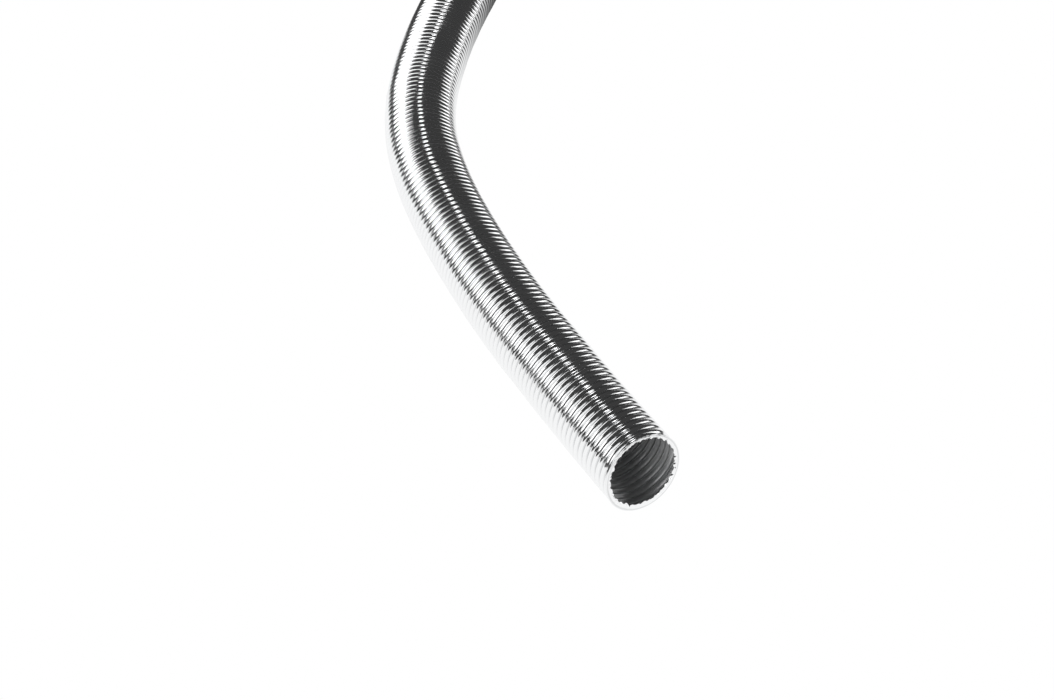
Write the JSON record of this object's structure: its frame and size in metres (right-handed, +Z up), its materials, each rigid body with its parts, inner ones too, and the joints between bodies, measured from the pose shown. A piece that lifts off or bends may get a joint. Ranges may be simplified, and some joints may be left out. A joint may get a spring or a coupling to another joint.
{
  "type": "flexible duct hose",
  "caption": "Flexible corrugated aluminium duct hose, open at both ends, lying in a gentle bend; bends sideways and up or down, and stretches.",
  "frame": {"origin": "on the hose's axis, on the first whole inner groove behind the open mouth", "axes": "-Y out of the mouth, +Z up; the hose lies level with its underside at -Z"},
  "size_m": [0.4748, 0.8323, 0.062],
  "materials": {
    "aluminium": "bright rolled foil, finely ribbed"
  },
  "bodies": {
    "mouth": {"mouth_section": "aluminium", "flex_section_01": "aluminium"},
    "duct_02": {"duct_section_02": "aluminium", "flex_section_02": "aluminium"},
    "duct_03": {"duct_section_03": "aluminium", "flex_section_03": "aluminium"},
    "duct_04": {"duct_section_04": "aluminium", "flex_section_04": "aluminium"},
    "duct_05": {"duct_section_05": "aluminium", "flex_section_05": "aluminium"},
    "duct_06": {"duct_section_06": "aluminium", "flex_section_06": "aluminium"},
    "duct_07": {"duct_section_07": "aluminium", "flex_section_07": "aluminium"},
    "duct_08": {"duct_section_08": "aluminium", "flex_section_08": "aluminium"},
    "duct_09": {"duct_section_09": "aluminium", "flex_section_09": "aluminium"},
    "duct_10": {"duct_section_10": "aluminium", "flex_section_10": "aluminium"},
    "duct_11": {"duct_section_11": "aluminium", "flex_section_11": "aluminium"},
    "duct_12": {"duct_section_12": "aluminium", "flex_section_12": "aluminium"},
    "duct_13": {"duct_section_13": "aluminium", "flex_section_13": "aluminium"},
    "duct_14": {"duct_section_14": "aluminium", "flex_section_14": "aluminium"},
    "duct_15": {"duct_section_15": "aluminium", "flex_section_15": "aluminium"},
    "tail": {"tail_section": "aluminium"}
  },
  "joints": [
    {"name": "bend_01_swing", "type": "hinge", "parent": "mouth", "child": "duct_02", "pos_m": [0, 0.0448, 0], "axis": [0, 0, 1], "range_deg": [-23.8, 26.2], "deforming": ["flex_section_01"]},
    {"name": "bend_02_lift", "type": "hinge", "parent": "duct_02", "child": "duct_03", "pos_m": [0.00129, 0.10639, 0], "axis": [0.9996, -0.0279, 0], "range_deg": [-25, 25], "deforming": ["flex_section_02"]},
    {"name": "bend_03_swing", "type": "hinge", "parent": "duct_03", "child": "duct_04", "pos_m": [0.00344, 0.16795, 0], "axis": [0, 0, 1], "range_deg": [-22, 28], "deforming": ["flex_section_03"]},
    {"name": "bend_04_lift", "type": "hinge", "parent": "duct_04", "child": "duct_05", "pos_m": [0.00881, 0.22931, 0], "axis": [0.9936, -0.1132, 0], "range_deg": [-25, 25], "deforming": ["flex_section_04"]},
    {"name": "bend_05_stretch", "type": "slide", "parent": "duct_05", "child": "duct_06", "axis": [0.1693, 0.9856, 0], "range_m": [-0.01, 0.012], "deforming": ["flex_section_05"]},
    {"name": "bend_06_swing", "type": "hinge", "parent": "duct_06", "child": "duct_07", "pos_m": [0.02966, 0.35068, 0], "axis": [0, 0, 1], "range_deg": [-18, 32], "deforming": ["flex_section_06"]},
    {"name": "bend_07_lift", "type": "hinge", "parent": "duct_07", "child": "duct_08", "pos_m": [0.04921, 0.40909, 0], "axis": [0.9153, -0.4027, 0], "range_deg": [-25, 25], "deforming": ["flex_section_07"]},
    {"name": "bend_08_swing", "type": "hinge", "parent": "duct_08", "child": "duct_09", "pos_m": [0.07907, 0.46297, 0], "axis": [0, 0, 1], "range_deg": [-15.5, 34.5], "deforming": ["flex_section_08"]},
    {"name": "bend_09_lift", "type": "hinge", "parent": "duct_09", "child": "duct_10", "pos_m": [0.11742, 0.51118, 0], "axis": [0.7604, -0.6494, 0], "range_deg": [-25, 25], "deforming": ["flex_section_09"]},
    {"name": "bend_10_stretch", "type": "slide", "parent": "duct_10", "child": "duct_11", "axis": [0.7009, 0.7133, 0], "range_m": [-0.01, 0.012], "deforming": ["flex_section_10"]},
    {"name": "bend_11_swing", "type": "hinge", "parent": "duct_11", "child": "duct_12", "pos_m": [0.20372, 0.599, 0], "axis": [0, 0, 1], "range_deg": [-22, 28], "deforming": ["flex_section_11"]},
    {"name": "bend_12_lift", "type": "hinge", "parent": "duct_12", "child": "duct_13", "pos_m": [0.25056, 0.63901, 0], "axis": [0.6394, -0.7688, 0], "range_deg": [-25, 25], "deforming": ["flex_section_12"]},
    {"name": "bend_13_swing", "type": "hinge", "parent": "duct_13", "child": "duct_14", "pos_m": [0.29843, 0.67777, 0], "axis": [0, 0, 1], "range_deg": [-27, 23], "deforming": ["flex_section_13"]},
    {"name": "bend_14_lift", "type": "hinge", "parent": "duct_14", "child": "duct_15", "pos_m": [0.34492, 0.71818, 0], "axis": [0.682, -0.7314, 0], "range_deg": [-25, 25], "deforming": ["flex_section_14"]},
    {"name": "bend_15_stretch", "type": "slide", "parent": "duct_15", "child": "tail", "axis": [0.6884, 0.7254, 0], "range_m": [-0.01, 0.012], "deforming": ["flex_section_15"]}
  ]
}
